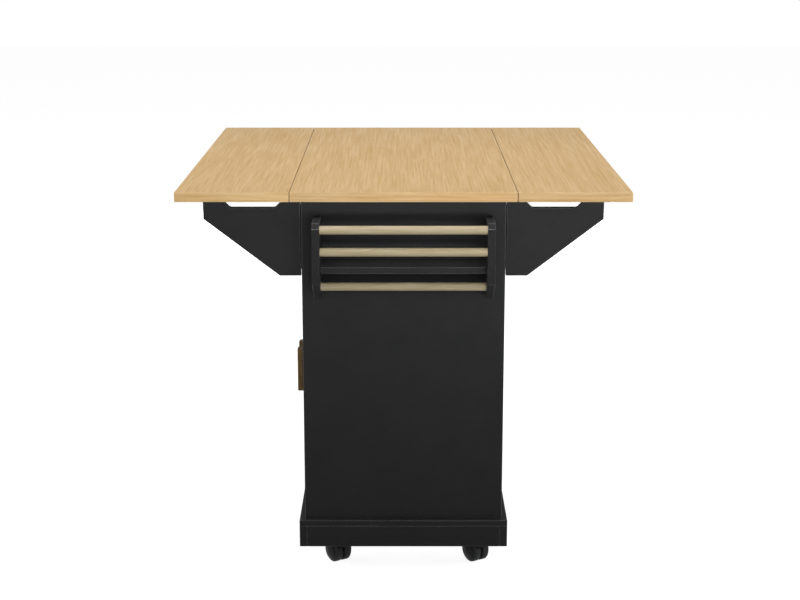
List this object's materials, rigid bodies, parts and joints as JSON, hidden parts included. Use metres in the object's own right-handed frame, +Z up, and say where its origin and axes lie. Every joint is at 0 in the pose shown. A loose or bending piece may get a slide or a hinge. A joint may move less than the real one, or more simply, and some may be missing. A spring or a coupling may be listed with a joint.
{
  "type": "kitchen island",
  "caption": "Black rolling kitchen island with a light wood worktop, drop leaves held up by folding wings, cupboard doors, drawers, a spice rack and a towel bar.",
  "frame": {"origin": "on the floor, under the middle of the overall box", "axes": "+X across the island towards its plain side, with the doors and drawers on the -X side; +Y along it away from the rack end; +Z up"},
  "size_m": [1.03, 1.121, 0.916],
  "materials": {
    "oak_top": "oiled light oak, grain along the length",
    "black_paint": "satin black painted board",
    "pale_dowel": "pale turned dowel, matt lacquer",
    "handle_wood": "brown wood, matt lacquer",
    "birch": "unpainted birch",
    "zinc_steel": "zinc plated",
    "hood_plastic": "moulded black nylon",
    "wheel_plastic": "moulded black nylon with a dark grey tread"
  },
  "bodies": {
    "island": {"plinth_board": "black_paint", "side_skirt_left": "black_paint", "side_skirt_right": "black_paint", "end_skirt_front": "black_paint", "end_skirt_rear": "black_paint", "caster_blocks": "birch", "caster_plates": "zinc_steel", "end_panel_front": "black_paint", "end_panel_rear": "black_paint", "side_panel": "black_paint", "apron": "black_paint", "divider": "black_paint", "cupboard_shelf": "black_paint", "shelf_pins": "zinc_steel", "door_catches": "zinc_steel", "door_hinge_plates": "zinc_steel", "drawer_runners": "birch", "worktop": "oak_top", "leaf_hinge_plates": "zinc_steel", "wing_hinge_plates": "zinc_steel", "rack_cheek_left": "black_paint", "rack_cheek_right": "black_paint", "rack_shelf": "black_paint", "rack_rails": "pale_dowel", "towel_bar": "pale_dowel"},
    "leaf_left": {"leaf_left": "oak_top", "leaf_left_hinges": "zinc_steel"},
    "leaf_right": {"leaf_right": "oak_top", "leaf_right_hinges": "zinc_steel"},
    "wing_front_left": {"wing_front_left": "black_paint", "wing_hinge_front_left": "zinc_steel"},
    "wing_front_right": {"wing_front_right": "black_paint", "wing_hinge_front_right": "zinc_steel"},
    "wing_rear_left": {"wing_rear_left": "black_paint", "wing_hinge_rear_left": "zinc_steel"},
    "wing_rear_right": {"wing_rear_right": "black_paint", "wing_hinge_rear_right": "zinc_steel"},
    "door_front": {"door_front": "black_paint", "door_front_handle": "handle_wood", "door_front_hinges": "zinc_steel"},
    "door_rear": {"door_rear": "black_paint", "door_rear_handle": "handle_wood", "door_rear_hinges": "zinc_steel"},
    "drawer_top": {"drawer_top_front": "black_paint", "drawer_top_box": "birch", "drawer_top_handle": "handle_wood"},
    "drawer_middle": {"drawer_middle_front": "black_paint", "drawer_middle_box": "birch", "drawer_middle_handle": "handle_wood"},
    "drawer_bottom": {"drawer_bottom_front": "black_paint", "drawer_bottom_box": "birch", "drawer_bottom_handle": "handle_wood"},
    "caster_front_left": {"caster_hood_front_left": "hood_plastic"},
    "wheels_front_left": {"caster_wheels_front_left": "wheel_plastic"},
    "caster_front_right": {"caster_hood_front_right": "hood_plastic"},
    "wheels_front_right": {"caster_wheels_front_right": "wheel_plastic"},
    "caster_rear_left": {"caster_hood_rear_left": "hood_plastic"},
    "wheels_rear_left": {"caster_wheels_rear_left": "wheel_plastic"},
    "caster_rear_right": {"caster_hood_rear_right": "hood_plastic"},
    "wheels_rear_right": {"caster_wheels_rear_right": "wheel_plastic"}
  },
  "joints": [
    {"name": "leaf_left_hinge", "type": "hinge", "parent": "island", "child": "leaf_left", "pos_m": [-0.25675, 0.0375, 0.8895], "axis": [0, 1, 0], "range_deg": [0, 3]},
    {"name": "leaf_right_hinge", "type": "hinge", "parent": "island", "child": "leaf_right", "pos_m": [0.25675, 0.0375, 0.8895], "axis": [0, -1, 0], "range_deg": [0, 3]},
    {"name": "wing_front_left_fold", "type": "hinge", "parent": "island", "child": "wing_front_left", "pos_m": [-0.236, -0.439, 0.8057], "axis": [0, 0, 1], "range_deg": [-90, 0]},
    {"name": "wing_front_right_fold", "type": "hinge", "parent": "island", "child": "wing_front_right", "pos_m": [0.236, -0.439, 0.8057], "axis": [0, 0, 1], "range_deg": [0, 90]},
    {"name": "wing_rear_left_fold", "type": "hinge", "parent": "island", "child": "wing_rear_left", "pos_m": [-0.236, 0.514, 0.8057], "axis": [0, 0, 1], "range_deg": [0, 90]},
    {"name": "wing_rear_right_fold", "type": "hinge", "parent": "island", "child": "wing_rear_right", "pos_m": [0.236, 0.514, 0.8057], "axis": [0, 0, 1], "range_deg": [-90, 0]},
    {"name": "door_front_pivot", "type": "hinge", "parent": "island", "child": "door_front", "pos_m": [-0.2275, -0.4335, 0.383], "axis": [0, 0, 1], "range_deg": [0, 110]},
    {"name": "door_rear_pivot", "type": "hinge", "parent": "island", "child": "door_rear", "pos_m": [-0.2275, 0.213, 0.383], "axis": [0, 0, 1], "range_deg": [-110, 0]},
    {"name": "drawer_top_slide", "type": "slide", "parent": "island", "child": "drawer_top", "axis": [-1, 0, 0], "range_m": [0, 0.3]},
    {"name": "drawer_middle_slide", "type": "slide", "parent": "island", "child": "drawer_middle", "axis": [-1, 0, 0], "range_m": [0, 0.3]},
    {"name": "drawer_bottom_slide", "type": "slide", "parent": "island", "child": "drawer_bottom", "axis": [-1, 0, 0], "range_m": [0, 0.3]},
    {"name": "caster_front_left_swivel", "type": "hinge", "parent": "island", "child": "caster_front_left", "pos_m": [-0.1655, -0.395, 0.069], "axis": [0, 0, 1], "continuous": true},
    {"name": "wheels_front_left_spin", "type": "hinge", "parent": "caster_front_left", "child": "wheels_front_left", "pos_m": [-0.157, -0.40972, 0.03], "axis": [0.866, 0.5, 0], "continuous": true},
    {"name": "caster_front_right_swivel", "type": "hinge", "parent": "island", "child": "caster_front_right", "pos_m": [0.1655, -0.395, 0.069], "axis": [0, 0, 1], "continuous": true},
    {"name": "wheels_front_right_spin", "type": "hinge", "parent": "caster_front_right", "child": "wheels_front_right", "pos_m": [0.174, -0.40972, 0.03], "axis": [0.866, 0.5, 0], "continuous": true},
    {"name": "caster_rear_left_swivel", "type": "hinge", "parent": "island", "child": "caster_rear_left", "pos_m": [-0.1655, 0.47, 0.069], "axis": [0, 0, 1], "continuous": true},
    {"name": "wheels_rear_left_spin", "type": "hinge", "parent": "caster_rear_left", "child": "wheels_rear_left", "pos_m": [-0.157, 0.45528, 0.03], "axis": [0.866, 0.5, 0], "continuous": true},
    {"name": "caster_rear_right_swivel", "type": "hinge", "parent": "island", "child": "caster_rear_right", "pos_m": [0.1655, 0.47, 0.069], "axis": [0, 0, 1], "continuous": true},
    {"name": "wheels_rear_right_spin", "type": "hinge", "parent": "caster_rear_right", "child": "wheels_rear_right", "pos_m": [0.174, 0.45528, 0.03], "axis": [0.866, 0.5, 0], "continuous": true}
  ]
}
